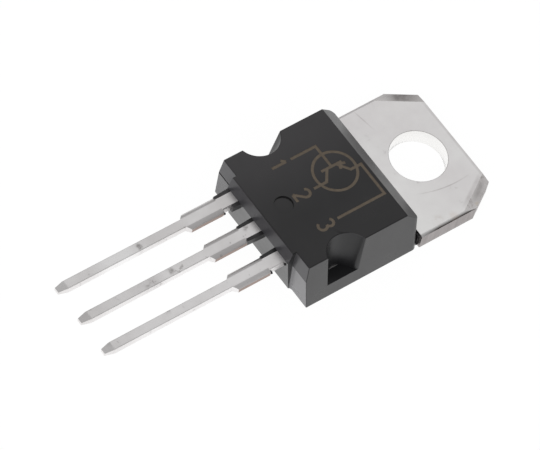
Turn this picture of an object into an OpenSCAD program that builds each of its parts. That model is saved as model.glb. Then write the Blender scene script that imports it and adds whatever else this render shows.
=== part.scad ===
// Three-lead plastic power transistor, pnp, in a tab package.
// The part lies on its back: the back face is z = 0 and the marked face looks up.
// Origin: centre of the mounting hole, in the plane of the back face.
// +Y runs from the hole to the free edge of the tab, and the leads point to -Y.

/* [Tab and hole] */
// Width of the tab
tab_w = 10.15; // [10:0.05:10.4]
// Thickness of the tab and of the header behind the chip
tab_t = 1.27; // [1.23:0.01:1.32]
// From the centre of the hole to the free edge of the tab
hole_to_edge = 2.85; // [2.65:0.05:2.95]
// Diameter of the mounting hole
hole_d = 3.85; // [3.6:0.05:4]
// Cut corner of the tab, measured across the tab
corner_x = 1.2; // [1:0.05:1.4]
// Cut corner of the tab, measured along the tab
corner_y = 1.95; // [1.6:0.05:2.2]
// Width of the coined strip along each cut corner
coin_w = 0.6; // [0.4:0.01:0.7]
// Depth of the coined strip at the outline of the tab
coin_drop = 0.09; // [0.05:0.01:0.2]
// Width of the rolled upper edge along both sides of the tab
tab_roll_w = 0.22; // [0.15:0.01:0.3]
// Depth of that rolled edge
tab_roll_d = 0.11; // [0.08:0.01:0.15]
// Slot between the plastic and the sheared shoulders of the tab
shear_gap = 0.12; // [0.05:0.01:0.2]

/* [Plastic body] */
// From the centre of the hole to the plastic, at the foot of its bevel
hole_to_body = 3.85; // [3.7:0.05:4]
// Length of the body at the plane of the leads
body_len = 9.3; // [9.1:0.05:9.6]
// Width of the body at the back face
body_w = 10.06; // [9.9:0.02:10.3]
// Height of the body
body_h = 4.4; // [4.35:0.05:4.6]
// Draft of the two long sides, in degrees
side_draft = 5; // [3:0.5:6]
// Draft of the tab side below its bevel, in degrees
tab_draft = 5; // [3:0.5:7]
// Draft of the lead end below the plane of the leads, in degrees
lower_draft = 10.5; // [7:0.5:12]
// Slope of the lead end above the plane of the leads, in degrees
upper_draft = 13; // [8:0.5:15]
// Height of the bevel over the tab
bevel_h = 1.1; // [0.9:0.05:1.3]
// Radius of the upright edges at the tab side
corner_r = 0.4; // [0.2:0.05:0.5]
// Width of the set-back corners at the lead end
setback_w = 1.75; // [1.6:0.05:1.9]
// Depth of the set-back corners, from the lead end to their own edge
setback = 0.43; // [0.35:0.01:0.5]
// Draft of the set-back corners below that edge, in degrees
corner_draft = 7; // [5:0.5:9]
// Slope of the set-back corners above that edge, in degrees
corner_slope = 2; // [1:0.5:4]
// Radius of the side notches at their floor
notch_r = 1.1; // [1.05:0.05:1.2]
// Draft of the side notches, in degrees
notch_draft = 7; // [3:0.5:8]
// From the plastic's edge on the tab side to the centre of the side notches
notch_at = 5.9; // [5.8:0.05:6.1]
// Diameter of the ejector pin mark
dimple_d = 1.3; // [1:0.05:1.5]
// Depth of the ejector pin mark
dimple_depth = 0.12; // [0.05:0.01:0.2]
// From the lead end at the plane of the leads to the centre of the ejector pin mark
dimple_at = 1.85; // [1.6:0.05:2]

/* [Leads] */
// Distance between neighbouring leads
pitch = 2.54; // [2.5:0.01:2.58]
// Thickness of the leads
lead_t = 0.5; // [0.45:0.01:0.6]
// Height of the underside of the leads over the back face
lead_z = 2.9; // [2.6:0.05:3]
// Length of the leads outside the body
lead_len = 13.5; // [13:0.05:14]
// Width of a lead where it leaves the body
root_w = 0.96; // [0.9:0.02:1.04]
// Length of that first stretch
root_len = 1.2; // [1:0.05:1.3]
// Width of the sheared stretch
wide_w = 1.26; // [1.16:0.02:1.3]
// From the body to the shoulder where the lead narrows
shoulder_at = 3.65; // [3.4:0.05:3.9]
// Length of the slanted shoulder
shoulder_len = 0.3; // [0.2:0.05:0.4]
// Width of the thin stretch
pin_w = 0.66; // [0.6:0.02:0.86]
// Width of the rolled upper edges of the sheared stretch
roll_w = 0.36; // [0.2:0.02:0.4]
// Depth of the rolled upper edges of the sheared stretch
roll_d = 0.18; // [0.1:0.01:0.2]
// Rounding of the upper edges of the other stretches
edge_r = 0.07; // [0.04:0.01:0.12]
// Length of the pointed tip
tip_len = 0.7; // [0.5:0.05:1]
// Width of a lead at its very end
tip_w = 0.4; // [0.3:0.02:0.5]
// Depth coined away from both faces at the very end
tip_coin = 0.13; // [0.05:0.01:0.18]
// Width of the plastic left beside a lead at the body
web_w = 0.22; // [0.16:0.02:0.26]

/* [Inside the body] */
// Plastic beside the header, from the side of the body at the back face
header_inset = 1.03; // [0.95:0.01:1.12]
// Width of the step on each side by which the plastic grips under the header
grip_w = 0.3; // [0.2:0.05:0.4]
// Length of the header inside the body
header_len = 6.2; // [5.9:0.05:6.4]
// Width of the inner end of the base and emitter leads
post_w = 2.1; // [1.9:0.05:2.2]
// Length of the inner end of the base and emitter leads
post_len = 1.3; // [1.2:0.05:1.4]
// Depth from the lead end of the body to the inner end of the leads
post_depth = 2.1; // [2:0.05:2.2]
// Side of the silicon chip
die_w = 3.4; // [3:0.1:3.8]
// Thickness of the silicon chip
die_t = 0.25; // [0.2:0.01:0.3]
// Thickness of the solder under the chip
solder_t = 0.05; // [0.03:0.01:0.1]
// Width of the solder that shows around the chip
solder_rim = 0.15; // [0.1:0.01:0.25]
// From the plastic's edge on the tab side to the centre of the chip
die_at = 3.1; // [2.9:0.05:3.3]
// Diameter of the base bond wire
base_wire_d = 0.25; // [0.2:0.01:0.3]
// Diameter of the two emitter bond wires
emitter_wire_d = 0.38; // [0.3:0.01:0.4]
// Distance between the two emitter bond wires
wire_gap = 0.9; // [0.8:0.02:1]
// Length of a bond wire's flattened foot, in wire diameters
foot_len = 2.4; // [2:0.1:3]
// Width of a bond wire's flattened foot, in wire diameters
foot_w = 1.2; // [1.1:0.05:1.5]
// Radius of the arc of a bond wire
loop_r = 3.5; // [3.2:0.1:4]

/* [Hidden] */
$fn = 48;
lap = 0.01;                               // keeps cutters clear of coplanar faces
reach = 40;                               // longer than any part of the package
y_body = -hole_to_body;                   // tab side of the plastic, where its bevel starts
y_foot = y_body + (body_h - bevel_h) * tan(tab_draft);      // and at the back face
y_end = y_body - body_len;                // lead end, at the plane of the leads
y_inner = y_end + lead_t;                 // the leads' inner shapes start here
y_wide = y_end - root_len;                // the sheared stretch starts here
y_shoulder = y_end - shoulder_at;         // and ends here
y_pin = y_shoulder - shoulder_len;        // from here the lead is thin
y_tip = y_end - lead_len;
lead_top = lead_z + lead_t;               // plane where the mould halves meet at the lead end
header_w = body_w - 2 * header_inset;
pad_w = header_w - 2 * grip_w;
y_header = y_body - header_len;
y_post = y_end + post_depth;
y_notch = y_body - notch_at;
y_die = y_body - die_at;
die_z = tab_t + solder_t;
die_top = die_z + die_t;
post_x = pitch + root_w / 2 - post_w / 2; // middle of an inner post
y_pads = y_die - die_w / 4;               // row of contacts on the chip
y_feet = y_post - post_len / 2;           // row of feet on the posts

// ---- helpers ----

// Extrudes a flat shape drawn in x and z along y, from y0 down to y1.
module along_y(y0, y1) {
    translate([0, y0, 0]) rotate([90, 0, 0]) linear_extrude(y0 - y1) children();
}

// Extrudes a flat shape drawn in y and z across x, centred.
module across_x(w) {
    translate([-w / 2, 0, 0]) rotate([90, 0, 90]) linear_extrude(w) children();
}

// Section of a stamped strip on the plane z: sharp below, both upper edges rolled over.
module stamped_section(w, t, z, over, down) {
    r = (over * over + down * down) / (2 * down);
    translate([0, z]) intersection() {
        translate([-w / 2, 0]) square([w, t]);
        union() {
            translate([-w / 2, 0]) square([w, t - down]);
            translate([-w / 2 + over, 0]) square([w - 2 * over, t]);
            for (side = [-1, 1])
                translate([side * (w / 2 - over), t - r]) circle(r);
        }
    }
}

// ---- leads ----

// Plan outline of the sheared stretch, down to the end of its slanted shoulder.
module wide_plan() {
    polygon([
        [-wide_w / 2, y_wide], [-wide_w / 2, y_shoulder], [-pin_w / 2, y_pin],
        [pin_w / 2, y_pin], [wide_w / 2, y_shoulder], [wide_w / 2, y_wide]
    ]);
}

// Plan outline of the thin stretch with its pointed tip.
module pin_plan() {
    polygon([
        [-pin_w / 2, y_pin + lap], [-pin_w / 2, y_tip + tip_len], [-tip_w / 2, y_tip],
        [tip_w / 2, y_tip], [pin_w / 2, y_tip + tip_len], [pin_w / 2, y_pin + lap]
    ]);
}

// Side view of a lead: the tip is coined thinner from above and below.
module tip_profile() {
    polygon([
        [y_end, lead_z], [y_end, lead_top], [y_tip + tip_len, lead_top],
        [y_tip, lead_top - tip_coin], [y_tip, lead_z + tip_coin], [y_tip + tip_len, lead_z]
    ]);
}

// One lead outside the body, centred on x = 0.
module outer_lead() {
    along_y(y_inner, y_wide - lap) stamped_section(root_w, lead_t, lead_z, edge_r, edge_r);
    intersection() {
        translate([0, 0, lead_z - 1]) linear_extrude(lead_t + 2) wide_plan();
        along_y(y_end, y_tip) stamped_section(wide_w, lead_t, lead_z, roll_w, roll_d);
    }
    intersection() {
        translate([0, 0, lead_z - 1]) linear_extrude(lead_t + 2) pin_plan();
        along_y(y_end, y_tip - 1) stamped_section(pin_w, lead_t, lead_z, edge_r, edge_r);
        across_x(wide_w) tip_profile();
    }
}

// Inner end of an outside lead: a wide post that holds it in the plastic.
module post(side) {
    inner = -root_w / 2;
    translate([0, 0, lead_z]) linear_extrude(lead_t) {
        translate([inner, y_inner - lap]) square([root_w, y_post - y_inner + lap]);
        translate([side > 0 ? inner : root_w / 2 - post_w, y_post - post_len])
            square([post_w, post_len]);
    }
}

module base_lead() {
    color("silver") translate([-pitch, 0, 0]) {
        outer_lead();
        post(1);
    }
}

module emitter_lead() {
    color("silver") translate([pitch, 0, 0]) {
        outer_lead();
        post(-1);
    }
}

// ---- tab, header and middle lead: one piece ----

module tab_plan() {
    polygon([
        [-tab_w / 2, y_foot + shear_gap], [tab_w / 2, y_foot + shear_gap],
        [tab_w / 2, hole_to_edge - corner_y], [tab_w / 2 - corner_x, hole_to_edge],
        [-tab_w / 2 + corner_x, hole_to_edge], [-tab_w / 2, hole_to_edge - corner_y]
    ]);
}

// Wedge that takes the coined strip off one upper corner of the tab.
module coin_cut() {
    turn = atan2(corner_y, corner_x);
    translate([tab_w / 2, hole_to_edge - corner_y, tab_t])
        rotate([0, 0, 180 - turn])
            translate([-reach / 2, 0, 0]) rotate([atan2(coin_drop, coin_w), 0, 0])
                translate([0, 0, -coin_drop * cos(atan2(coin_drop, coin_w))])
                    translate([0, -reach / 2, 0]) cube([reach, reach, 1]);
}

// Header in the body, narrower at the back so that the plastic grips under it.
module header() {
    grip_z = tab_t / 2;
    along_y(y_foot + shear_gap + lap, y_header) {
        translate([-pad_w / 2, 0]) square([pad_w, tab_t]);
        translate([-header_w / 2, grip_z]) square([header_w, tab_t - grip_z]);
    }
}

// Middle lead inside the body: leaves the header flush with its top and climbs.
module riser() {
    low = tab_t - lead_t;
    slope = atan2(lead_top - tab_t, y_header - y_post);
    bend = lead_t * tan(slope / 2);
    across_x(root_w) polygon([
        [y_header + lap, low], [y_header + lap, tab_t], [y_header, tab_t],
        [y_post, lead_top], [y_inner - lap, lead_top], [y_inner - lap, lead_z],
        [y_post - bend, lead_z], [y_header - bend, low]
    ]);
}

module collector_frame() {
    color("silver") {
        difference() {
            intersection() {
                linear_extrude(tab_t) tab_plan();
                along_y(reach, y_body) stamped_section(tab_w, tab_t, 0, tab_roll_w, tab_roll_d);
            }
            translate([0, 0, -1]) cylinder(d = hole_d, h = tab_t + 2);
            coin_cut();
            mirror([1, 0, 0]) coin_cut();
        }
        header();
        riser();
        outer_lead();
    }
}

// ---- chip, solder and bond wires ----

module die_solder() {
    w = die_w + 2 * solder_rim;
    color("gray") translate([-w / 2, y_die - w / 2, tab_t]) cube([w, w, solder_t]);
}

module silicon_die() {
    color("slategray") translate([-die_w / 2, y_die - die_w / 2, die_z]) cube([die_w, die_w, die_t]);
}

// Flattened foot of a bond wire, centred on its contact.
module wire_foot(d) {
    translate([-d * foot_len / 2, -d * foot_w / 2, 0]) cube([d * foot_len, d * foot_w, d / 2]);
}

// Bond wire from a point on the chip to a point on a post: one arc and two feet.
module bond_wire(from, to, d) {
    run = norm([to[0] - from[0], to[1] - from[1]]);
    climb = lead_top - die_top;
    chord = norm([run, climb]);
    tilt = atan2(climb, run);
    half = asin(chord / 2 / loop_r);
    translate([from[0], from[1], die_top]) rotate([0, 0, atan2(to[1] - from[1], to[0] - from[0])]) {
        wire_foot(d);
        translate([run, 0, climb]) wire_foot(d);
        translate([0, 0, d / 2]) rotate([90, 0, 0]) rotate([0, 0, tilt])
            translate([chord / 2, -loop_r * cos(half), 0]) rotate([0, 0, 90 - half])
                rotate_extrude(angle = 2 * half) translate([loop_r, 0]) circle(d / 2, $fn = 24);
    }
}

module base_bond_wire() {
    color("gainsboro") bond_wire([-die_w / 3, y_pads], [-post_x, y_feet], base_wire_d);
}

module emitter_bond_wire_left() {
    color("gainsboro") bond_wire([0, y_pads], [post_x - wire_gap / 2, y_feet], emitter_wire_d);
}

module emitter_bond_wire_right() {
    color("gainsboro")
        bond_wire([wire_gap, y_pads], [post_x + wire_gap / 2, y_feet], emitter_wire_d);
}

// ---- moulded body ----

// Side view of the body; its lead end comes to an edge at y and z and leans back from it.
module side_view(y, z, below, above) {
    polygon([
        [y_foot, 0], [y_body, body_h - bevel_h], [y_body - bevel_h, body_h],
        [y + (body_h - z) * tan(above), body_h], [y, z], [y + z * tan(below), 0]
    ]);
}

// Everything inside one leaning side of the body, with its rounded upright edge.
module leaning_side() {
    translate([body_w / 2, y_foot + lap, 0]) rotate([tab_draft, -side_draft, 0])
        translate([0, 0, -reach / 4]) linear_extrude(reach / 2) {
            translate([-reach, -corner_r - reach]) square([reach, reach]);
            translate([-reach, -reach]) square([reach - corner_r, reach + 1]);
            translate([-corner_r, -corner_r]) circle(corner_r);
        }
}

// Cone that cuts one side notch down to the level of the header.
module notch_cut() {
    depth = body_h - tab_t + 1;
    translate([body_w / 2, y_notch, tab_t])
        cylinder(r1 = notch_r, r2 = notch_r + depth * tan(notch_draft), h = depth);
}

// Plastic left between the leads when the strip that joined them was sheared off.
module web(side) {
    translate([0, 0, lead_z]) linear_extrude(lead_t) polygon([
        [0, y_inner], [side * (root_w / 2 + web_w), y_inner],
        [side * (root_w / 2 + web_w), y_end], [side * wide_w / 2, y_wide], [0, y_wide]
    ]);
}

module body_shell() {
    difference() {
        intersection() {
            leaning_side();
            mirror([1, 0, 0]) leaning_side();
            union() {
                across_x(body_w + 2)
                    side_view(y_end + setback, lead_z, corner_draft, corner_slope);
                across_x(body_w - 2 * setback_w)
                    side_view(y_end, lead_top, lower_draft, upper_draft);
            }
        }
        notch_cut();
        mirror([1, 0, 0]) notch_cut();
        translate([0, y_end + dimple_at, body_h - dimple_depth])
            cylinder(d = dimple_d, h = dimple_depth + 1);
    }
    translate([-pitch, 0, 0]) {
        web(-1);
        web(1);
    }
    web(-1);
    web(1);
    translate([pitch, 0, 0]) web(-1);
}

module epoxy_body() {
    color([0.17, 0.17, 0.18]) difference() {
        body_shell();
        collector_frame();
        base_lead();
        emitter_lead();
        die_solder();
        silicon_die();
        base_bond_wire();
        emitter_bond_wire_left();
        emitter_bond_wire_right();
    }
}

epoxy_body();
collector_frame();
base_lead();
emitter_lead();
die_solder();
silicon_die();
base_bond_wire();
emitter_bond_wire_left();
emitter_bond_wire_right();
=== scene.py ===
import math
import bmesh
import bpy
from mathutils import Matrix, Vector, noise


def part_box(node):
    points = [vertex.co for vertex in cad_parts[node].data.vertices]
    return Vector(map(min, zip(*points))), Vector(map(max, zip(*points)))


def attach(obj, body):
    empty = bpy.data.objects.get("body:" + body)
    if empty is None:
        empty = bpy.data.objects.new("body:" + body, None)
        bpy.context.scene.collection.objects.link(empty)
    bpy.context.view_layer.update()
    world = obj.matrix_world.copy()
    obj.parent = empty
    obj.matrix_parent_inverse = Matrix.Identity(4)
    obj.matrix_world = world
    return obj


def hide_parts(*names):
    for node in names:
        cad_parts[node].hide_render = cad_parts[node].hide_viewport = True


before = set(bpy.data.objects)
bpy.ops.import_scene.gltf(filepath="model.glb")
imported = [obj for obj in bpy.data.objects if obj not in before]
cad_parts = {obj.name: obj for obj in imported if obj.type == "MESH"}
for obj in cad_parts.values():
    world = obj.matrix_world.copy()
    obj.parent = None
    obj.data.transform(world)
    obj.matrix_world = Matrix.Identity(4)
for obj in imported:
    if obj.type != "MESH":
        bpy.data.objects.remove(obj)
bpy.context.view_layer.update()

mm = 0.001                         # the scene is in metres, the sizes below are in mm

# the package's main planes, from the solids' boxes
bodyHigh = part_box("epoxy_body")[1] / mm
leadLow, leadHigh = (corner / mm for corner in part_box("base_lead"))
bodyTop = bodyHigh.z
bodyFoot = bodyHigh.y              # the plastic's face on the tab side, at the back
leadTop = leadHigh.z
print("frame loaded: body top", round(bodyTop, 2), "lead top", round(leadTop, 2))

meshFacts = {
    "merge": 0.002,                # mm between vertices of a solid that are one
    "flat": 0.5,                   # degrees up to which faces are joined to one
    "sharp": 12.0,                 # from which an edge can be rounded
    "smooth": 30.0,                # and up to which it is shaded smooth
    "straight": 0.99999,           # cosine of a bend that is none
}


def pickOnly(piece):
    # operators act on everything that is selected, so one piece is left selected
    if bpy.context.object and bpy.context.object.mode != "OBJECT":
        bpy.ops.object.mode_set(mode="OBJECT")
    bpy.ops.object.select_all(action="DESELECT")
    piece.select_set(True)
    bpy.context.view_layer.objects.active = piece


def copyOfNode(nodeName, pieceName, finishes):
    # a merged copy of a solid's mesh, its flat faces whole again, with its finishes in slots
    piece = bpy.data.objects.new(pieceName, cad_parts[nodeName].data.copy())
    bpy.context.scene.collection.objects.link(piece)
    pickOnly(piece)
    bpy.ops.mesh.customdata_custom_splitnormals_clear()
    bpy.ops.object.mode_set(mode="EDIT")
    bpy.ops.mesh.select_all(action="SELECT")
    bpy.ops.mesh.remove_doubles(threshold=meshFacts["merge"] * mm)
    bpy.ops.mesh.dissolve_limited(angle_limit=math.radians(meshFacts["flat"]))
    bpy.ops.object.mode_set(mode="OBJECT")
    piece.data.materials.clear()
    for finish in finishes:
        piece.data.materials.append(finish)
    return piece


def roundEdges(piece, chosen, radius, segments):
    # rounds the sharp edges for which chosen(one end, other end) is true, to the radius in mm
    pickOnly(piece)
    bpy.ops.object.mode_set(mode="EDIT")
    bpy.ops.mesh.select_mode(type="EDGE")
    bpy.ops.mesh.select_all(action="DESELECT")
    mesh = bmesh.from_edit_mesh(piece.data)
    sharp = math.radians(meshFacts["sharp"])
    count = 0
    for edge in mesh.edges:
        if len(edge.link_faces) != 2 or edge.calc_face_angle(0) < sharp:
            continue
        if chosen(*(v.co / mm for v in edge.verts)):
            edge.select = True
            count += 1
    bmesh.update_edit_mesh(piece.data)
    if count:
        bpy.ops.mesh.bevel(offset=radius * mm, segments=segments, clamp_overlap=False)
    bpy.ops.object.mode_set(mode="OBJECT")
    print("  rounded", count, "edges of", piece.name)


def finishFaces(piece, finish, chosen):
    # gives one of the piece's finishes to the faces for which chosen(middle, normal) is true
    slot = piece.data.materials.find(finish.name)
    for face in piece.data.polygons:
        if chosen(face.center / mm, face.normal):
            face.material_index = slot


def smoothShade(piece, crisp=None):
    # flat faces stay flat, as the larger faces set the normals; crisp(a, b) names shallow edges kept sharp
    pickOnly(piece)
    bpy.ops.object.shade_smooth_by_angle(angle=math.radians(meshFacts["smooth"]), keep_sharp_edges=False)
    for edge in piece.data.edges:
        if crisp and crisp(*(piece.data.vertices[i].co / mm for i in edge.vertices)):
            edge.use_edge_sharp = True
    weigh = piece.modifiers.new("weigh", "WEIGHTED_NORMAL")
    weigh.keep_sharp = True
    bpy.ops.object.modifier_apply(modifier=weigh.name)


def standFor(piece, nodeName):
    # the piece takes the place of the solid of that node
    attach(piece, "root")
    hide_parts(nodeName)


def hexColour(code):
    # sRGB hex to the linear values that the shader works in
    parts = [int(code[i:i + 2], 16) / 255 for i in (1, 3, 5)]
    return [c / 12.92 if c <= 0.04045 else ((c + 0.055) / 1.055) ** 2.4 for c in parts] + [1.0]


def addNode(material, kind, settings, links):
    # adds a node, sets its values by name or place and links its inputs to (node, output) pairs
    node = material.node_tree.nodes.new(kind)
    for name, value in settings.items():
        if isinstance(name, int) or name in node.inputs:
            node.inputs[name].default_value = value
        else:
            setattr(node, name, value)
    for name, (source, output) in links.items():
        material.node_tree.links.new(source.outputs[output], node.inputs[name])
    return node


socketNames = {
    "metallic": "Metallic", "roughness": "Roughness", "ior": "IOR",
    "bloom": "Sheen Weight", "bloomRoughness": "Sheen Roughness",
}
# places of a colour mix's sockets, because several of them share a name
mixShare, mixFirst, mixSecond, mixColour = 0, 6, 7, 2


def newMaterial(name, look):
    # a material with its even values set, and the link that lays a pattern on the part in mm
    material = bpy.data.materials.new(name)
    material.use_nodes = True
    shader = material.node_tree.nodes["Principled BSDF"]
    for key, socket in socketNames.items():
        if key in look:
            shader.inputs[socket].default_value = look[key]
    coords = addNode(material, "ShaderNodeTexCoord", {}, {})
    place = addNode(material, "ShaderNodeMapping", {"Scale": (1 / mm, 1 / mm, 1 / mm)},
                    {"Vector": (coords, "Object")})
    return material, shader, {"Vector": (place, "Vector")}


def feed(material, source, output, target, socket):
    # links two nodes that exist already
    material.node_tree.links.new(source.outputs[output], target.inputs[socket])


def noiseAt(size, detail=2.0, roughness=0.5):
    # settings of a noise whose blotches are about that many mm wide
    return {"Scale": 0.5 / size, "Detail": detail, "Roughness": roughness}


mouldLook = {
    "dark": "#0d0c0e", "light": "#151316",           # the resin's black and its filler-rich patches
    "roughness": 0.3, "spread": 0.05, "ior": 1.5,    # spread is how far the roughness varies
    "bloom": 0.06, "bloomRoughness": 0.4,            # a faint bloom that pales faces seen along their length
    "paintedSheen": "#353335", "paintedSheenFrom": 1.5, "paintedSheenTo": -5.0,      # painted sheen: the colour is paled towards -X, a reflection gradient painted in
    "patch": 1.6, "patchFrom": 0.3, "patchTo": 0.7,  # width of the patches in mm, and their contrast
    "grain": 0.05, "grainHeight": 0.0012,            # mm
}


def mouldCompound(name, look):
    # epoxy mould compound, silica-filled, from a spark-eroded mould: black, satin, very fine grain
    material, shader, onPart = newMaterial(name, look)
    patch = addNode(material, "ShaderNodeTexNoise", noiseAt(look["patch"], 4.0, 0.6), onPart)
    tone = addNode(material, "ShaderNodeMix", {"data_type": "RGBA", mixFirst: hexColour(look["dark"]),
                   mixSecond: hexColour(look["light"])}, {mixShare: (patch, "Fac")})
    # painted sheen: towards -X the colour is paled, standing in for a reflection
    across = addNode(material, "ShaderNodeSeparateXYZ", {}, onPart)
    paintedSheenShare = addNode(material, "ShaderNodeMapRange", {"interpolation_type": "SMOOTHSTEP",
                   "From Min": look["paintedSheenFrom"], "From Max": look["paintedSheenTo"]}, {"Value": (across, "X")})
    withPaintedSheen = addNode(material, "ShaderNodeMix", {"data_type": "RGBA", mixSecond: hexColour(look["paintedSheen"])},
                    {mixShare: (paintedSheenShare, "Result"), mixFirst: (tone, mixColour)})
    feed(material, withPaintedSheen, mixColour, shader, "Base Color")
    rough, spread = look["roughness"], look["spread"]
    sheen = addNode(material, "ShaderNodeMapRange",
                    {"From Min": look["patchFrom"], "From Max": look["patchTo"],
                     "To Min": rough - spread, "To Max": rough + spread}, {"Value": (patch, "Fac")})
    feed(material, sheen, "Result", shader, "Roughness")
    # the grain is about 0.02 mm on the part, drawn coarser so that it shows
    grain = addNode(material, "ShaderNodeTexNoise", noiseAt(look["grain"]), onPart)
    bump = addNode(material, "ShaderNodeBump", {"Strength": 1.0, "Distance": look["grainHeight"] * mm},
                   {"Height": (grain, "Fac")})
    feed(material, bump, "Normal", shader, "Normal")
    return material


markLook = {
    "burnt": "#5d5348", "pale": "#7a6f61", "roughness": 0.75, "ior": 1.45,
    "patch": 0.12,                                   # mm, about the spacing of the laser's passes
}


def laserMark():
    # epoxy whose skin a laser has burnt off: the bare filler is dull and grey-brown
    look = markLook
    material, shader, onPart = newMaterial("laser_marked_epoxy", look)
    patch = addNode(material, "ShaderNodeTexNoise", noiseAt(look["patch"], 3.0), onPart)
    tone = addNode(material, "ShaderNodeMix", {"data_type": "RGBA", mixFirst: hexColour(look["burnt"]),
                   mixSecond: hexColour(look["pale"])}, {mixShare: (patch, "Fac")})
    feed(material, tone, mixColour, shader, "Base Color")
    return material


tinLook = {
    "bright": "#ecebea", "dull": "#dcdad9", "smudge": "#9a9492",
    "metallic": 1.0, "roughness": 0.3,
    "smoother": 0.03, "rougher": 0.05,               # how far the roughness varies
    "cloud": 3.0, "cloudFrom": 0.35, "cloudTo": 0.65,        # width in mm and contrast
    "smudgeSize": 0.45, "smudgeFrom": 0.62, "smudgeEdge": 0.1, "smudgeShare": 0.5,
    "brush": 0.12, "brushHeight": 0.0012,            # width and height of a drawn line in mm
    "brushStretch": 0.08,                            # its width as a share of its length
    "markCore": 0.3, "markRun": 0.4,                 # shares of a mark's width and length at full strength
    "wearFrom": 0.42, "wearTo": 0.58,                # contrast of the noise that wears the marks
}


def tinPlating(name, look, marks=()):
    # matt electroplated tin over stamped copper: pale warm grey, satin, drawn lines along the strip, smudges
    material, shader, onPart = newMaterial(name, look)
    cloud = addNode(material, "ShaderNodeTexNoise", noiseAt(look["cloud"], 4.0, 0.6), onPart)
    clouds = addNode(material, "ShaderNodeMapRange",
                     {"From Min": look["cloudFrom"], "From Max": look["cloudTo"]}, {"Value": (cloud, "Fac")})
    tone = addNode(material, "ShaderNodeMix", {"data_type": "RGBA", mixFirst: hexColour(look["dull"]),
                   mixSecond: hexColour(look["bright"])}, {mixShare: (clouds, "Result")})
    spot = addNode(material, "ShaderNodeTexNoise", noiseAt(look["smudgeSize"], 3.0, 0.65), onPart)
    spots = addNode(material, "ShaderNodeMapRange",
                    {"From Min": look["smudgeFrom"], "From Max": look["smudgeFrom"] + look["smudgeEdge"],
                     "To Max": look["smudgeShare"]}, {"Value": (spot, "Fac")})
    last = addNode(material, "ShaderNodeMix", {"data_type": "RGBA", mixSecond: hexColour(look["smudge"])},
                   {mixShare: (spots, "Result"), mixFirst: (tone, mixColour)})
    level = addNode(material, "ShaderNodeMapping", {"Scale": (1, 1, 0)}, onPart)
    for centre, radius, middle, reach, width, strength, wear, colour in marks:
        # an arc of that radius about the centre, soft at its sides and fading away from its middle
        away = addNode(material, "ShaderNodeVectorMath", {"operation": "DISTANCE", 1: (*centre, 0)},
                       {0: (level, "Vector")})
        off = addNode(material, "ShaderNodeMath", {"operation": "SUBTRACT", 1: radius}, {0: (away, "Value")})
        near = addNode(material, "ShaderNodeMath", {"operation": "ABSOLUTE"}, {0: (off, "Value")})
        line = addNode(material, "ShaderNodeMapRange",
                       {"From Min": width * look["markCore"], "From Max": width, "To Min": strength,
                        "To Max": 0.0}, {"Value": (near, "Value")})
        along = addNode(material, "ShaderNodeVectorMath", {"operation": "DISTANCE", 1: (*middle, 0)},
                        {0: (level, "Vector")})
        fade = addNode(material, "ShaderNodeMapRange",
                       {"From Min": reach * look["markRun"], "From Max": reach, "To Min": 1.0, "To Max": 0.0},
                       {"Value": (along, "Value")})
        faded = addNode(material, "ShaderNodeMath", {"operation": "MULTIPLY"},
                        {0: (line, "Result"), 1: (fade, "Result")})
        worn = addNode(material, "ShaderNodeMapRange",
                       {"From Min": look["wearFrom"], "From Max": look["wearTo"], "To Min": 1 - wear},
                       {"Value": (spot, "Fac")})
        ragged = addNode(material, "ShaderNodeMath", {"operation": "MULTIPLY"},
                         {0: (faded, "Value"), 1: (worn, "Result")})
        last = addNode(material, "ShaderNodeMix", {"data_type": "RGBA", mixSecond: hexColour(colour)},
                       {mixShare: (ragged, "Value"), mixFirst: (last, mixColour)})
    feed(material, last, mixColour, shader, "Base Color")
    rough = look["roughness"]
    sheen = addNode(material, "ShaderNodeMapRange",
                    {"To Min": rough - look["smoother"], "To Max": rough + look["rougher"]},
                    {"Value": (spot, "Fac")})
    feed(material, sheen, "Result", shader, "Roughness")
    # drawn lines are a few hundredths of a mm apart, drawn wider so that they show
    stretched = addNode(material, "ShaderNodeMapping", {"Scale": (1.0, look["brushStretch"], 1.0)}, onPart)
    brushed = addNode(material, "ShaderNodeTexNoise", noiseAt(look["brush"], 3.0),
                      {"Vector": (stretched, "Vector")})
    bump = addNode(material, "ShaderNodeBump", {"Strength": 1.0, "Distance": look["brushHeight"] * mm},
                   {"Height": (brushed, "Fac")})
    feed(material, bump, "Normal", shader, "Normal")
    return material


shearLook = {
    "tin": "#b9b4b3", "torn": "#8f8988", "metallic": 1.0, "roughness": 0.48,
    "streak": 0.16, "streakHeight": 0.006,           # width and height of a streak in mm
    "streakStretch": 0.2,                            # its width as a share of its length up the edge
}


def shearedEdge():
    # cut side of the tab: tin smeared down it in upright streaks, with rough torn copper between, dull grey
    look = shearLook
    material, shader, onPart = newMaterial("sheared_tin_plated_edge", look)
    upright = addNode(material, "ShaderNodeMapping", {"Scale": (1.0, 1.0, look["streakStretch"])}, onPart)
    streak = addNode(material, "ShaderNodeTexNoise", noiseAt(look["streak"], 4.0, 0.6),
                     {"Vector": (upright, "Vector")})
    tone = addNode(material, "ShaderNodeMix", {"data_type": "RGBA", mixFirst: hexColour(look["torn"]),
                   mixSecond: hexColour(look["tin"])}, {mixShare: (streak, "Fac")})
    feed(material, tone, mixColour, shader, "Base Color")
    bump = addNode(material, "ShaderNodeBump", {"Strength": 1.0, "Distance": look["streakHeight"] * mm},
                   {"Height": (streak, "Fac")})
    feed(material, bump, "Normal", shader, "Normal")
    return material


copperLook = {
    "copper": "#a08d85", "tin": "#cbc5c4", "metallic": 1.0, "roughness": 0.42,
    "streak": 0.1, "streakHeight": 0.004, "streakStretch": 0.3,
    "fadeFrom": 0.6, "fadeTo": -0.05,                # heights over the lead's underside, from tin to copper
    "bareFrom": 0.35, "bareTo": 0.95,                # contrast of the ragged border between them
}


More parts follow.
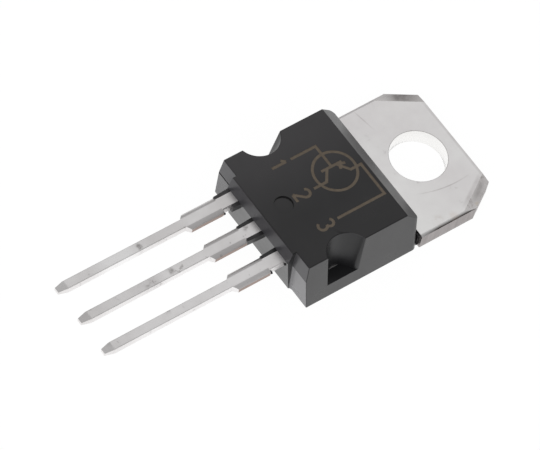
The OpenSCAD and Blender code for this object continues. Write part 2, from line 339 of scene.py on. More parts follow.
def shearedCopper():
    # side of a lead where its tie strip was cut after plating: bare copper low down, tarnished red-brown
    look = copperLook
    material, shader, onPart = newMaterial("sheared_bare_copper", look)
    upright = addNode(material, "ShaderNodeMapping", {"Scale": (1.0, 1.0, look["streakStretch"])}, onPart)
    streak = addNode(material, "ShaderNodeTexNoise", noiseAt(look["streak"], 4.0, 0.6),
                     {"Vector": (upright, "Vector")})
    height = addNode(material, "ShaderNodeSeparateXYZ", {}, onPart)
    low = addNode(material, "ShaderNodeMapRange", {"From Min": leadLow.z + look["fadeFrom"],
                  "From Max": leadLow.z + look["fadeTo"]}, {"Value": (height, "Z")})
    ragged = addNode(material, "ShaderNodeMath", {"operation": "ADD", "use_clamp": True},
                     {0: (low, "Result"), 1: (streak, "Fac")})
    bare = addNode(material, "ShaderNodeMapRange",
                   {"From Min": look["bareFrom"], "From Max": look["bareTo"]}, {"Value": (ragged, "Value")})
    tone = addNode(material, "ShaderNodeMix", {"data_type": "RGBA", mixFirst: hexColour(look["tin"]),
                   mixSecond: hexColour(look["copper"])}, {mixShare: (bare, "Result")})
    feed(material, tone, mixColour, shader, "Base Color")
    bump = addNode(material, "ShaderNodeBump", {"Strength": 1.0, "Distance": look["streakHeight"] * mm},
                   {"Height": (streak, "Fac")})
    feed(material, bump, "Normal", shader, "Normal")
    return material


innerGrain = {"strength": 0.5, "height": 0.003}      # of all the pieces inside the plastic; the height in mm


def grainyMetal(name, look):
    # an inner piece's finish: one colour with a fine grain
    material, shader, onPart = newMaterial(name, look)
    grain = addNode(material, "ShaderNodeTexNoise", noiseAt(look["grain"], 3.0), onPart)
    tone = addNode(material, "ShaderNodeMix", {"data_type": "RGBA", mixFirst: hexColour(look["dark"]),
                   mixSecond: hexColour(look["light"])}, {mixShare: (grain, "Fac")})
    feed(material, tone, mixColour, shader, "Base Color")
    bump = addNode(material, "ShaderNodeBump",
                   {"Strength": innerGrain["strength"], "Distance": innerGrain["height"] * mm},
                   {"Height": (grain, "Fac")})
    feed(material, bump, "Normal", shader, "Normal")
    return material


# a mark on the plating is an arc: its centre and radius, its middle, half length and half width in mm,
# its strength, the share of it that noise wears away, and its colour
def lineMark(middle, facing, reach, width, strength, wear, colour):
    # a straight line, as a very wide arc; facing is the direction across it in degrees
    radius, turn = 200.0, math.radians(facing)
    centre = (middle[0] - radius * math.cos(turn), middle[1] - radius * math.sin(turn))
    return centre, radius, middle, reach, width, strength, wear, colour


def spotMark(middle, size, strength, wear, colour):
    # a round spot, as an arc of no radius
    return middle, 0.0, middle, size, size, strength, wear, colour


tabMarks = (
    ((-4.6, 1.0), 7.45, (2.75, 0.1), 2.0, 0.06, 0.45, 0.4, "#a39c9a"),       # a curved scratch
    lineMark((-4.05, -1.48), 100.31, 1.1, 0.06, 0.35, 0.4, "#a39c9a"),       # and a straight one
    lineMark((5.1, -0.9), 0.0, 3.0, 0.17, 1.0, 0.1, "#3b302c"),              # a dark brownish line along the +X rolled edge
    spotMark((4.6, -1.8), 0.6, 0.4, 0.9, "#ad9484"),                         # brown stains beside it
    spotMark((4.85, -0.7), 0.5, 0.4, 0.6, "#c4a58e"),
    lineMark((3.86, 1.5), 31.61, 1.6, 0.2, 0.45, 0.3, "#b5b0af"),            # a darker line by a coined strip
    lineMark((0.6, 2.8), 90.0, 6.0, 0.16, 0.35, 0.2, "#b5b0af"),             # painted shade along the free edge, standing in for the shading of its rounding
)
coinMarks = (
    spotMark((-4.45, 2.0), 1.6, 0.75, 0.3, "#918c8b"),                       # painted shade over the -X strip, deeper where a dent is shaded
    spotMark((-4.45, 2.15), 0.45, 0.6, 0.3, "#6f6a69"),
    spotMark((4.6, 1.9), 0.7, 0.15, 0.5, "#8f8281"),                         # a faint darker spot on +X
    spotMark((4.85, 1.2), 0.3, 0.6, 0.6, "#e6dccb"),                         # where one spot is pale
    lineMark((4.1, 1.8), 31.65, 1.0, 0.22, 0.4, 0.3, "#8f8a89"),
)
leadMarks = (
    spotMark((0.0, -21.5), 1.6, 0.2, 0.4, "#9d9796"),                        # a duller stretch
    spotMark((-2.6, -22.2), 2.6, 0.9, 0.3, "#fdfcfc"),                       # a brighter one
    spotMark((-2.5, -20.45), 0.4, 0.65, 0.95, "#6d6663"),                    # and dark spots
    spotMark((0.0, -21.55), 0.35, 0.55, 0.9, "#6d6663"),
    spotMark((-0.07, -19.8), 0.4, 0.6, 0.95, "#6d6663"),
    spotMark((2.3, -21.6), 0.3, 0.4, 0.8, "#6d6663"),
    spotMark((-0.3, -13.9), 0.4, 0.5, 0.9, "#6d6663"),
)

moulding = mouldCompound("black_epoxy_mould_compound", mouldLook)
# walls of the notches, left by polished cores: blacker, duller and without the painted sheen
notched = mouldCompound("core_moulded_epoxy", dict(
    mouldLook, dark="#101012", light="#17171a", paintedSheen="#17171a", roughness=0.4, bloom=0.0))
# lead end: painted light, a dark grey that stands in for the light these faces catch, with a coarser grain
paintedLitEnd = mouldCompound("epoxy_lead_end_painted_light", dict(
    mouldLook, dark="#353437", light="#3d3c40", paintedSheen="#3d3c40", bloom=0.25, grain=0.07))
# underside of the +X set-back corner: painted light, a mid grey that stands in for the bright floor it
# mirrors
paintedLitCorner = mouldCompound("epoxy_corner_painted_light", dict(
    mouldLook, dark="#6b6a6e", light="#747376", paintedSheen="#747376", bloom=0.4, grain=0.07))
marked = laserMark()
# the leads were handled most: small darker smudges
tin = tinPlating("matt_tin_plated_leads", dict(
    tinLook, bright="#f3f1f1", dull="#e0dddc", smudge="#8a8482", smudgeSize=0.3, roughness=0.36), leadMarks)
# the wide tab, hardly handled: even and pale
tabTin = tinPlating("matt_tin_plated_tab", dict(
    tinLook, bright="#f2f1f0", dull="#e9e6e6", smudgeFrom=0.66, smudgeShare=0.3), tabMarks)
# strips pressed down by the coining die: narrower clouds and more smudges
coined = tinPlating("coined_tin_plating", dict(
    tinLook, bright="#f2efee", dull="#e0dcdb", smudge="#a69e9b", cloud=1.0, smudgeFrom=0.58), coinMarks)
# the hole's wall, rubbed smooth by the punch: bright and clean
burnished = tinPlating("burnished_punched_hole", dict(
    tinLook, bright="#f8f7f6", dull="#f1f0ee", roughness=0.25, brushHeight=0.0004, smudgeShare=0.1))
# edges that the shear rolled over: rougher, and painted duller and greyer to stand in for the shade on these
# tilted faces
rolled = tinPlating("rolled_edge_tin_painted_shade", dict(
    tinLook, bright="#e0dede", dull="#cecbca", smudge="#8a8482", smudgeSize=0.3, roughness=0.4))
sheared = shearedEdge()
bareCopper = shearedCopper()

# what lies inside the plastic, with the width of its grain in mm
innerLooks = {
    # soft solder, frozen under the chip: dull light grey
    "die_solder": ("dull_soft_solder", {
        "dark": "#7d7d7f", "light": "#9b9b9c", "metallic": 1.0, "roughness": 0.5, "grain": 0.2}),
    # silicon, lapped and polished: blue-grey and nearly a mirror
    "silicon_die": ("lapped_silicon", {
        "dark": "#50535b", "light": "#5f626b", "metallic": 1.0, "roughness": 0.15, "grain": 0.4}),
    # aluminium wire, drawn through a die: bright and satin
    "base_bond_wire": ("drawn_aluminium_wire", {
        "dark": "#d0d0d1", "light": "#e2e2e3", "metallic": 1.0, "roughness": 0.25, "grain": 0.05}),
}
innerFinish = {}
for nodeName, (name, look) in innerLooks.items():
    innerFinish[nodeName] = grainyMetal(name, look)
for wire in ("emitter_bond_wire_left", "emitter_bond_wire_right"):
    innerFinish[wire] = innerFinish["base_bond_wire"]
for nodeName, finish in innerFinish.items():
    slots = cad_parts[nodeName].data.materials
    slots.clear()
    slots.append(finish)
print("materials made")

bodyFacts = {
    "rim": 0.06, "stepFoot": 0.24,                   # roundings of the outer edges and of the inner corners
    "rimSteps": 3, "stepSteps": 4,                   # segments of those roundings
    "bevel": 1.1, "tabDraft": 5.0, "sideDraft": 5.0, "length": 9.3, "setback": 0.43,
    "ejectorBehind": 7.45, "ejectorRadius": 0.65,    # distances are from the foot of the bevel
    "notchTurn": 71.0,                               # degrees of the notches' rounded mouth corner
    "notchFloor": 1.27, "notchRadius": 1.1, "notchDraft": 7.0, "notchBehind": 5.9,
    "notchSteps": 48, "mouthSteps": 8,
    "cutClear": 0.004, "cutSide": 0.002,             # how far the cutter passes the notch's wall and the side
    "cutBelow": 0.002, "cutAbove": 0.5, "cutBeside": 1.0,    # and the floor, the top and the mouth
    "tee": 0.045, "sliver": 0.004, "fineSliver": 0.002,      # leftovers of the cuts that are joined up
    "level": 0.01, "upright": 0.7,                   # a level edge's largest rise and an upright one's least
    "inPlane": 0.02,                                 # still counts as in a plane
    "ejectorClear": 0.2,                             # round the ejector pin mark, which stays sharp
    "underTop": 0.15,                                # from here down the bevel's sides count
    "endDepth": 1.2, "outerFrom": 4.4, "innerTo": 4.0,       # where the lead end's corners stand
    "partingLow": 1.0, "partingHigh": 0.5,           # above the back and below the top
    "partingDepth": 0.1,                             # behind the set-back corners
    "cornerFrom": 3.3, "overLeads": 0.05,            # from the middle, and below the leads' upper side
    "facingEnd": -0.9, "facingDown": -0.05,          # y of a normal along the leads, z of one that looks down
}
tabSide = bodyFoot - (bodyTop - bodyFacts["bevel"]) * math.tan(math.radians(bodyFacts["tabDraft"]))
leadEnd = tabSide - bodyFacts["length"]


def notchOutline(height, side):
    # plan of one side notch at a height: one rounded mouth corner, its arc and the open air beside it
    grow = math.tan(math.radians(bodyFacts["notchDraft"]))
    lean = math.tan(math.radians(bodyFacts["sideDraft"]))
    centre = Vector((bodyHigh.x, tabSide - bodyFacts["notchBehind"]))
    radius = bodyFacts["notchRadius"] + (height - bodyFacts["notchFloor"]) * grow + bodyFacts["cutClear"]
    face = bodyHigh.x - height * lean + bodyFacts["cutSide"]
    turn = math.radians(bodyFacts["notchTurn"])
    mouth = (radius * math.cos(turn) - centre.x + face) / (1 - math.cos(turn))     # touches arc and side face
    rise = (radius + mouth) * math.sin(turn)
    upper = []
    for i in range(bodyFacts["mouthSteps"] + 1):     # from the side face round the corner
        a = turn * i / bodyFacts["mouthSteps"]
        upper.append(Vector((face - mouth + mouth * math.cos(a), centre.y + rise - mouth * math.sin(a))))
    arc = []
    for i in range(1, bodyFacts["notchSteps"] + 1):
        a = math.pi - turn + (math.pi / 2 + turn) * i / bodyFacts["notchSteps"]
        arc.append(Vector((centre.x + radius * math.cos(a), centre.y + radius * math.sin(a))))
    air = face + bodyFacts["cutBeside"]
    outside = [Vector((air, arc[-1].y)), Vector((air, upper[0].y))]
    return [(side * p.x, p.y) for p in upper + arc + outside]


def loftedBlock(name, lowPlan, highPlan, lowZ, highZ):
    # a disc raised to a block, whose lower and upper outlines then take the two plans
    bpy.ops.object.select_all(action="DESELECT")
    bpy.ops.mesh.primitive_circle_add(vertices=len(lowPlan), radius=mm, fill_type="NGON")
    block = bpy.context.object
    block.name = name
    bpy.ops.object.mode_set(mode="EDIT")
    bpy.ops.mesh.extrude_region_move(TRANSFORM_OT_translate={"value": (0, 0, mm)})
    bpy.ops.object.mode_set(mode="OBJECT")
    lows = [v for v in block.data.vertices if v.co.z < mm / 2]
    highs = [v for v in block.data.vertices if v.co.z > mm / 2]
    lows.sort(key=lambda v: math.atan2(v.co.x, v.co.y))
    highs.sort(key=lambda v: math.atan2(v.co.x, v.co.y))
    for low, high, lowPlace, highPlace in zip(lows, highs, lowPlan, highPlan):
        low.co = Vector((*lowPlace, lowZ)) * mm
        high.co = Vector((*highPlace, highZ)) * mm
    pickOnly(block)
    bpy.ops.object.mode_set(mode="EDIT")
    bpy.ops.mesh.select_all(action="SELECT")
    bpy.ops.mesh.normals_make_consistent(inside=False)
    bpy.ops.object.mode_set(mode="OBJECT")
    return block


def cutAway(piece, cutter):
    # takes the cutter out of the piece; the cut faces keep the cutter's material
    pickOnly(piece)
    cut = piece.modifiers.new("cut", "BOOLEAN")
    cut.operation, cut.solver, cut.object = "DIFFERENCE", "EXACT", cutter
    cut.material_mode = "TRANSFER"
    bpy.ops.object.modifier_apply(modifier=cut.name)
    bpy.data.objects.remove(cutter)


def joinTees(piece, reach):
    # moves a vertex that splits a straight edge onto another one within reach, in mm
    pickOnly(piece)
    bpy.ops.object.mode_set(mode="EDIT")
    bpy.ops.mesh.select_mode(type="VERT")
    bpy.ops.mesh.select_all(action="DESELECT")
    mesh = bmesh.from_edit_mesh(piece.data)
    for v in mesh.verts:
        ways = [(edge.other_vert(v).co - v.co).normalized() for edge in v.link_edges]
        straight = min(one.dot(other) for one in ways for other in ways)
        v.select = len(ways) == 3 and straight < -meshFacts["straight"]
    bmesh.update_edit_mesh(piece.data)
    bpy.ops.mesh.remove_doubles(threshold=reach * mm, use_unselected=True)
    bpy.ops.object.mode_set(mode="OBJECT")


def clearSlivers(piece, size):
    # collapses edges and faces that are smaller than the size in mm
    pickOnly(piece)
    bpy.ops.object.mode_set(mode="EDIT")
    bpy.ops.mesh.select_all(action="SELECT")
    bpy.ops.mesh.dissolve_degenerate(threshold=size * mm)
    bpy.ops.object.mode_set(mode="OBJECT")


body = copyOfNode("epoxy_body", "moulded_body", [moulding, paintedLitEnd, paintedLitCorner])
lowZ = bodyFacts["notchFloor"] - bodyFacts["cutBelow"]
highZ = bodyTop + bodyFacts["cutAbove"]
for side in (-1, 1):
    notch = loftedBlock("notch", notchOutline(lowZ, side), notchOutline(highZ, side), lowZ, highZ)
    notch.data.materials.append(notched)
    cutAway(body, notch)
joinTees(body, bodyFacts["tee"])
clearSlivers(body, bodyFacts["sliver"])


def isRim(a, b):
    # the outline of the top, without the ejector pin mark
    ejector = Vector((0, tabSide - bodyFacts["ejectorBehind"]))
    clear = (a.xy - ejector).length > bodyFacts["ejectorRadius"] + bodyFacts["ejectorClear"]
    return min(a.z, b.z) > bodyTop - bodyFacts["level"] and clear


def isUpright(a, b):
    # the outer upright corners at the lead end
    atEnd = max(a.y, b.y) < leadEnd + bodyFacts["endDepth"]
    outer = min(abs(a.x), abs(b.x)) > bodyFacts["outerFrom"]
    return atEnd and outer and abs(a.z - b.z) > bodyFacts["upright"]


def isBevelSide(a, b):
    # edges in the plane of the slope over the tab
    slope = bodyTop + tabSide - bodyFacts["bevel"]
    within = all(abs(p.y + p.z - slope) < bodyFacts["inPlane"] for p in (a, b))
    return within and min(a.z, b.z) < bodyTop - bodyFacts["underTop"]


def isStepFoot(a, b):
    # the inner upright corners below the parting line, where the ends of the face are set back
    sunk = min(a.y, b.y) > leadEnd + bodyFacts["setback"] - bodyFacts["inPlane"]
    inner = max(abs(a.x), abs(b.x)) < bodyFacts["innerTo"] and max(a.z, b.z) < leadTop
    return sunk and inner and abs(a.z - b.z) > bodyFacts["upright"]


def isOuterEdge(a, b):
    return isRim(a, b) or isUpright(a, b) or isBevelSide(a, b)


def isPaintedLitEnd(at, normal):
    # the faces above the leads and at the set-back corners, painted paler to stand in for the light they
    # catch
    atEnd = normal.y < bodyFacts["facingEnd"] and at.y < leadEnd + bodyFacts["endDepth"]
    return atEnd and (at.z > leadTop - bodyFacts["overLeads"] or abs(at.x) > bodyFacts["cornerFrom"])


def isPaintedLitCorner(at, normal):
    # the underside of the set-back corner on +X, painted paler still to stand in for the bright floor it
    # mirrors
    return isPaintedLitEnd(at, normal) and normal.z < bodyFacts["facingDown"] and at.x > 0


def isParting(a, b):
    # level edges across the lead end, where the halves of the mould met
    atEnd = max(a.y, b.y) < leadEnd + bodyFacts["setback"] + bodyFacts["partingDepth"]
    between = bodyFacts["partingLow"] < a.z < bodyTop - bodyFacts["partingHigh"]
    return atEnd and between and abs(a.z - b.z) < bodyFacts["level"]


roundEdges(body, isOuterEdge, bodyFacts["rim"], bodyFacts["rimSteps"])
roundEdges(body, isStepFoot, bodyFacts["stepFoot"], bodyFacts["stepSteps"])
finishFaces(body, paintedLitEnd, isPaintedLitEnd)
finishFaces(body, paintedLitCorner, isPaintedLitCorner)
clearSlivers(body, bodyFacts["fineSliver"])

trimFacts = {
    "groove": ((-4.35, -12.72, 2.9), (1.6, 0.16, 0.13)),     # middle and size, in the parting line at -X
    "break": ((-1.82, -14.07, 3.15), (0.56, 0.7, 0.9)),      # and of what broke off the base lead's web
    "breakTurn": -4,                                 # degrees
    "shadeLumps": {                                      # middle and radius
        "emitter_shade_lump_inner": ((3.14, -13.24, 3.28), 0.09),
        "emitter_shade_lump_outer": ((3.11, -14.27, 3.08), 0.1),
        "base_shade_lump": ((-1.98, -14.27, 3.0), 0.1),
    },
    "lumpRough": 0.6, "lumpCoarse": 1.2,           # depth and number of a lump's dents, by its radius
}


def trimBlock(middle, size, turn=0):
    # a small block that takes a groove or a break out of the plastic
    bpy.ops.object.select_all(action="DESELECT")
    bpy.ops.mesh.primitive_cube_add(size=mm, location=Vector(middle) * mm,
                                    rotation=(math.radians(turn), 0, 0))
    block = bpy.context.object
    block.scale = size
    block.data.materials.append(moulding)
    return block


cutAway(body, trimBlock(*trimFacts["groove"]))
cutAway(body, trimBlock(*trimFacts["break"], trimFacts["breakTurn"]))
print("body cut and rounded")

markFacts = {
    "stroke": 0.2, "depth": 0.02,                    # width and depth of the laser's line
    "digit": 1.1, "row": -9.3,                       # height of the pin numbers and top of their row
    "pitch": 2.54, "ring": 1.45, "centre": (-0.4, -7.0),     # the general sign for a pnp transistor
    "ringStep": 5,                                   # degrees
}


def markStroke(points, closed=False):
    # a thin bar on edge along the points, sunk into the top face by the depth of the mark
    curve = bpy.data.curves.new("stroke", "CURVE")
    curve.dimensions = "3D"
    curve.extrude = 1.5 * markFacts["depth"] * mm
    line = curve.splines.new("POLY")
    line.points.add(len(points) - 1)
    line.use_cyclic_u = closed
    for point, (x, y) in zip(line.points, points):
        point.co = (x * mm, y * mm, (bodyTop + 0.5 * markFacts["depth"]) * mm, 1)
    stroke = bpy.data.objects.new("stroke", curve)
    bpy.context.scene.collection.objects.link(stroke)
    pickOnly(stroke)
    bpy.ops.object.convert(target="MESH")
    stroke = bpy.context.object
    bpy.ops.object.mode_set(mode="EDIT")
    bpy.ops.mesh.select_all(action="SELECT")
    bpy.ops.mesh.remove_doubles(threshold=meshFacts["merge"] * mm)
    bpy.ops.object.mode_set(mode="OBJECT")
    wall = stroke.modifiers.new("wall", "SOLIDIFY")
    wall.thickness = markFacts["stroke"] * mm
    wall.offset = 0
    wall.use_even_offset = True
    bpy.ops.object.modifier_apply(modifier=wall.name)
    bpy.ops.object.mode_set(mode="EDIT")
    bpy.ops.mesh.select_all(action="SELECT")
    bpy.ops.mesh.normals_make_consistent(inside=False)
    bpy.ops.object.mode_set(mode="OBJECT")
    stroke.data.materials.clear()
    stroke.data.materials.append(marked)
    return stroke


def arcPoints(x, y, radius, start, end, steps):
    # start and end in degrees
    turns = [math.radians(start + (end - start) * i / steps) for i in range(steps + 1)]
    return [(x + radius * math.cos(t), y + radius * math.sin(t)) for t in turns]


def digitLines(digit, x, top, high):
    # pin numbers 1 to 3 in single strokes about x, their points at shares of the height
    half = high * 0.27
    if digit == 1:
        return [[(x, top), (x, top - high)], [(x - half * 0.8, top - high * 0.25), (x, top)]]
    if digit == 2:
        bowl = arcPoints(x, top - half, half, 165, -35, 10)
        return [bowl + [(x - half, top - high)], [(x - half, top - high), (x + half, top - high)]]
    upper = arcPoints(x, top - high * 0.24, high * 0.24, 150, -80, 10)
    lower = arcPoints(x, top - high * 0.73, high * 0.27, 80, -150, 12)
    return [upper, lower]


def markLines():
    cx, cy = markFacts["centre"]
    row, pitch = markFacts["row"], markFacts["pitch"]
    bar = cx - 0.4                                   # the sign's thick bar
    tap, bend = 0.35, 0.95                           # where the slanting lines start and end, from its middle
    over = cy + markFacts["ring"] + 0.3              # one line passes round the ring
    foot = row + 0.35                                # where the lines to the numbers end
    tip = (bar + 0.09, cy + 0.55)                    # the arrow, towards the bar
    lines = [
        [(bar, cy - 0.8), (bar, cy + 0.8)],
        [(bar, cy), (-pitch, cy), (-pitch, foot)],
        [(bar, cy - tap), (0, cy - bend), (0, foot)],
        [(bar, cy + tap), (0, cy + bend), (0, over), (pitch, over), (pitch, foot)],
        [tip, (bar + 0.46, cy + 0.42)],
        [tip, (bar + 0.2, cy + 0.95)],
    ]
    for number, x in ((1, -pitch), (2, 0), (3, pitch)):
        lines += digitLines(number, x, row, markFacts["digit"])
    return lines


strokes = [markStroke(line) for line in markLines()]
step = markFacts["ringStep"]
ring = arcPoints(*markFacts["centre"], markFacts["ring"], 0, 360 - step, 360 // step - 1)
strokes.append(markStroke(ring, closed=True))
for stroke in strokes:
    cutAway(body, stroke)
smoothShade(body, isParting)
standFor(body, "epoxy_body")

flashFacts = {
    "from": 3.7, "to": 4.95, "low": 0.04, "high": 1.12,      # where the resin fills the slot, in mm
    "slot": 0.12, "thick": 0.11,                     # widths of the slot and of the skin, in mm
    "ragged": 0.3, "wavy": 0.05,                     # mm by which its border and its face wander
    "coarse": 4.0, "tornCoarse": 7, "short": 0.1,    # dents along each way, and how much it misses at the end
    "columns": 16, "rows": 14,
    "seed": 3, "tornSeed": 9,                        # other values give another ragged border
}


def slotFlash(side):
    # a ragged skin of resin that bled into the slot between the plastic and one shoulder of the tab
    facts = flashFacts
    bpy.ops.object.select_all(action="DESELECT")
    bpy.ops.mesh.primitive_grid_add(x_subdivisions=facts["columns"], y_subdivisions=facts["rows"], size=1)
    flash = bpy.context.object
    flash.name = "slot_flash_right" if side > 0 else "slot_flash_left"
    lean = math.tan(math.radians(bodyFacts["tabDraft"])) / 2         # the tab's side of the slot is upright
    for v in flash.data.vertices:
        along, up = v.co.x + 0.5, v.co.y + 0.5
        rough = noise.noise(Vector((along * facts["coarse"], up * facts["coarse"], side * facts["seed"])))
        torn = facts["ragged"] * noise.noise(Vector((facts["tornSeed"] * side, up * facts["tornCoarse"], 0)))
        x = facts["from"] + (facts["to"] - facts["from"] + torn - facts["short"]) * along
        y = bodyFoot + facts["slot"] / 2
        z = facts["low"] + (facts["high"] - facts["low"] + 0.5 * facts["ragged"] * rough * up) * up
        v.co = Vector((side * x, y - lean * z + facts["wavy"] * rough, z)) * mm
    pickOnly(flash)
    wall = flash.modifiers.new("wall", "SOLIDIFY")
    wall.thickness = facts["thick"] * mm
    wall.offset = 0
    bpy.ops.object.modifier_apply(modifier=wall.name)
    bpy.ops.object.mode_set(mode="EDIT")
    bpy.ops.mesh.select_all(action="SELECT")
    bpy.ops.mesh.normals_make_consistent(inside=False)
    bpy.ops.object.mode_set(mode="OBJECT")
    flash.data.materials.append(moulding)
    smoothShade(flash)
    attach(flash, "root")


def shadeLump(name, middle, radius):
    # a dark lump of resin beside a lead's root that stands in for the shade there
    bpy.ops.object.select_all(action="DESELECT")
    bpy.ops.mesh.primitive_ico_sphere_add(subdivisions=2, radius=radius * mm)
    lump = bpy.context.object
    lump.name = name
    for v in lump.data.vertices:
        place = v.co / (radius * mm) * trimFacts["lumpCoarse"] + Vector(middle)
        v.co = v.co * (1 + trimFacts["lumpRough"] * noise.noise(place)) + Vector(middle) * mm
    lump.data.materials.append(moulding)
    smoothShade(lump)
    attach(lump, "root")


slotFlash(-1)
slotFlash(1)
for name, (middle, radius) in trimFacts["shadeLumps"].items():
    shadeLump(name, middle, radius)
print("body made and marked")

frameFacts = {
    "holeRadius": 1.925, "holeRim": 0.05, "rimSteps": 2, "tabTop": 1.27,
    "plainFrom": -9.0,                               # the tab's finish starts here, inside the plastic
    "wideFrom": -14.35, "wideTo": -17.1,             # the stretch of a lead that was sheared
    "coinFrom": 0.2,                                 # the coined strips lie beyond this
    "rimClear": 0.01, "wallClear": 0.08,             # round the hole, what still counts as its rim and wall
    "sideClear": 0.1, "coinClear": 0.4,              # and from where there are sides and coined edges
    "level": 0.01, "flat": 0.001,                    # largest rise of an edge of the rim and of the level top
    "slantFrom": 0.5, "slantWidth": 0.3,             # place and least width of the coined strips' edges
    "underside": -0.9, "steep": 0.3, "wall": 0.9,    # z of a normal, 1 where a face looks straight up
    "coined": (0.9, 0.998), "rolled": (0.3, 0.985),  # the same, least and most
    "cut": 0.95,                                     # x of the normal of a lead's side
}


def isRimOfHole(a, b):
    near = max(a.xy.length, b.xy.length) < frameFacts["holeRadius"] + frameFacts["rimClear"]
    return near and abs(a.z - b.z) < frameFacts["level"]


def isTabFace(at, normal):
    return at.y > frameFacts["plainFrom"] and normal.z > frameFacts["underside"]


def sideOfTab(at, normal):
    outside = at.xy.length > frameFacts["holeRadius"] + frameFacts["sideClear"]
    return outside and at.y > tabSide and abs(normal.z) < frameFacts["steep"]


def wallOfHole(at, normal):
    near = at.xy.length < frameFacts["holeRadius"] + frameFacts["wallClear"]
    return near and abs(normal.z) < frameFacts["wall"]


def isCoined(at, normal):
    least, most = frameFacts["coined"]
    return at.y > frameFacts["coinFrom"] and least < normal.z < most


def isSheared(at):
    return frameFacts["wideTo"] < at.y < frameFacts["wideFrom"]


def cutByShear(at, normal):
    return isSheared(at) and abs(normal.x) > frameFacts["cut"]


def isRolled(at, normal):
    least, most = frameFacts["rolled"]
    return isSheared(at) and least < normal.z < most


def flatEdge(a, b):
    # the outlines of the tab's level top and of its coined strips
    level = max(abs(a.z - b.z), abs(a.z - frameFacts["tabTop"])) < frameFacts["flat"]
    slanted = abs(a.x - b.x) > frameFacts["slantWidth"] and max(a.y, b.y) > frameFacts["slantFrom"]
    clear = min(a.xy.length, b.xy.length) > frameFacts["holeRadius"] + frameFacts["coinClear"]
    return level or (slanted and clear)


# a later finish overrides an earlier one
tabFinishes = (
    (tabTin, isTabFace), (sheared, sideOfTab), (burnished, wallOfHole),
    (bareCopper, cutByShear), (coined, isCoined), (rolled, isRolled),
)
tab = copyOfNode("collector_frame", "tab_and_middle_lead", [tin] + [finish for finish, chosen in tabFinishes])
roundEdges(tab, isRimOfHole, frameFacts["holeRim"], frameFacts["rimSteps"])
for finish, chosen in tabFinishes:
    finishFaces(tab, finish, chosen)
smoothShade(tab, flatEdge)
standFor(tab, "collector_frame")
for nodeName, name in (("base_lead", "base_lead_strip"), ("emitter_lead", "emitter_lead_strip")):
    lead = copyOfNode(nodeName, name, [tin, bareCopper, rolled])
    finishFaces(lead, bareCopper, cutByShear)
    finishFaces(lead, rolled, isRolled)
    smoothShade(lead)
    standFor(lead, nodeName)
print("tab and leads made")

cameraFacts = {
    "azimuth": 41.79, "elevation": 56.46, "roll": 15.11,     # degrees
    "distance": 288.4, "lens": 303.1, "sensor": 36,          # mm
    "aim": (-1.154, -10.757, 0.0),                           # mm
    "nearest": 0.01, "farthest": 10,                         # metres
}
azimuth, elevation, roll = (math.radians(cameraFacts[k]) for k in ("azimuth", "elevation", "roll"))
backward = Vector((math.sin(azimuth) * math.cos(elevation), -math.cos(azimuth) * math.cos(elevation),
                   math.sin(elevation)))


def placeCamera():
    right = Vector((math.cos(azimuth), math.sin(azimuth), 0))
    up = backward.cross(right)
    side = math.cos(roll) * right + math.sin(roll) * up
    top = -math.sin(roll) * right + math.cos(roll) * up
    camera = bpy.data.objects.new("camera", bpy.data.cameras.new("camera"))
    bpy.context.scene.collection.objects.link(camera)
    turn = Matrix((side, top, backward)).transposed().to_4x4()
    place = (Vector(cameraFacts["aim"]) + backward * cameraFacts["distance"]) * mm
    camera.matrix_world = Matrix.Translation(place) @ turn
    camera.data.lens = cameraFacts["lens"]
    camera.data.sensor_width = cameraFacts["sensor"]
    camera.data.clip_start = cameraFacts["nearest"]
    camera.data.clip_end = cameraFacts["farthest"]
    bpy.context.scene.camera = camera


studio = {
    "room": 0.44,                                    # brightness of the room all round
    "panel": 0.42, "panelSize": 0.30, "panelAway": 0.6,      # soft panel that level faces mirror; metres
    "window": 1.3, "windowSize": 0.9, "windowAway": 0.8,     # large soft lamp on the side of the leads
    "windowFrom": (0.5, -0.68, 0.56),                # direction it shines from
}
cardFacts = {
    "white": "#f4f4f4", "glow": 1.045, "shade": 0.08,        # the last: how much of its own shading shows
    "size": 8.0,                                     # metres
    "drop": 0.01,                                    # mm below the part's back
    "tooth": 0.6, "toothHeight": 0.02, "toothStrength": 0.1, # mm; the paper's grain
}


def softLight(name, towards, away, size, brightness):
    # a round lamp that faces the part; its power follows from its brightness and area
    bpy.ops.object.select_all(action="DESELECT")
    bpy.ops.object.light_add(type="AREA")
    lamp = bpy.context.object
    lamp.name = name
    lamp.data.shape = "DISK"
    lamp.data.size = size
    area = math.pi * size * size / 4
    lamp.data.energy = brightness * math.pi * area
    towards = Vector(towards).normalized()
    turn = towards.to_track_quat("Z", "Y").to_matrix().to_4x4()
    lamp.matrix_world = Matrix.Translation(Vector(cameraFacts["aim"]) * mm + towards * away) @ turn
    lamp.visible_camera = False


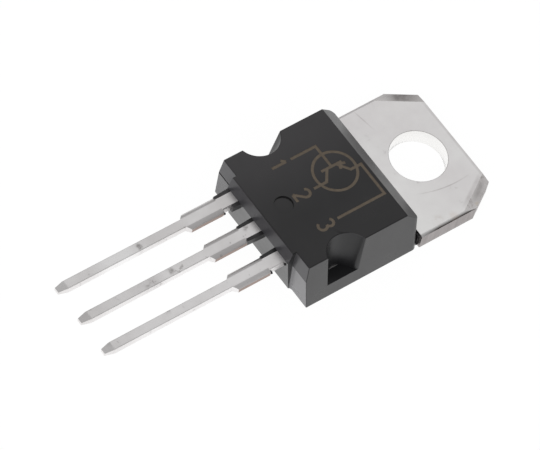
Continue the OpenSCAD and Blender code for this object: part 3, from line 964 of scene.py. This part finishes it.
def whiteCard():
    # matt white card, coated paper: plain white to the eye and in the metal, with a faint shadow of the part
    material, shader, onPart = newMaterial("matt_white_card", {"roughness": 0.9})
    tooth = addNode(material, "ShaderNodeTexNoise", noiseAt(cardFacts["tooth"]), onPart)
    bump = addNode(material, "ShaderNodeBump",
                   {"Strength": cardFacts["toothStrength"], "Distance": cardFacts["toothHeight"] * mm},
                   {"Height": (tooth, "Fac")})
    feed(material, bump, "Normal", shader, "Normal")
    shader.inputs["Base Color"].default_value = hexColour(cardFacts["white"])
    glow = addNode(material, "ShaderNodeEmission", {"Strength": cardFacts["glow"]}, {})
    ray = addNode(material, "ShaderNodeLightPath", {}, {})
    seen = addNode(material, "ShaderNodeMath", {"operation": "MULTIPLY", 1: 1 - cardFacts["shade"]},
                   {0: (ray, "Is Camera Ray")})
    mirrored = addNode(material, "ShaderNodeMath", {"operation": "MAXIMUM"},
                       {0: (ray, "Is Glossy Ray"), 1: (ray, "Is Transmission Ray")})
    share = addNode(material, "ShaderNodeMath", {"operation": "MAXIMUM"},
                    {0: (seen, "Value"), 1: (mirrored, "Value")})
    mix = addNode(material, "ShaderNodeMixShader", {},
                  {0: (share, "Value"), 1: (shader, "BSDF"), 2: (glow, "Emission")})
    feed(material, mix, "Shader", material.node_tree.nodes["Material Output"], "Surface")
    return material


bpy.ops.object.select_all(action="DESELECT")
bpy.ops.mesh.primitive_plane_add(size=cardFacts["size"], location=(0, 0, -cardFacts["drop"] * mm))
floor = bpy.context.object
floor.name = "floor"
floor.data.materials.append(whiteCard())

world = bpy.data.worlds.new("studio")
bpy.context.scene.world = world
world.use_nodes = True
room = world.node_tree.nodes["Background"]
room.inputs["Color"].default_value = (1, 1, 1, 1)
room.inputs["Strength"].default_value = studio["room"]
placeCamera()
opposite = (-backward.x, -backward.y, backward.z)    # from here the tab mirrors the panel into the camera
softLight("panel", opposite, studio["panelAway"], studio["panelSize"], studio["panel"])
softLight("window", studio["windowFrom"], studio["windowAway"], studio["windowSize"], studio["window"])
bpy.context.scene.view_settings.view_transform = "Standard"
print("floor, lights and camera placed")
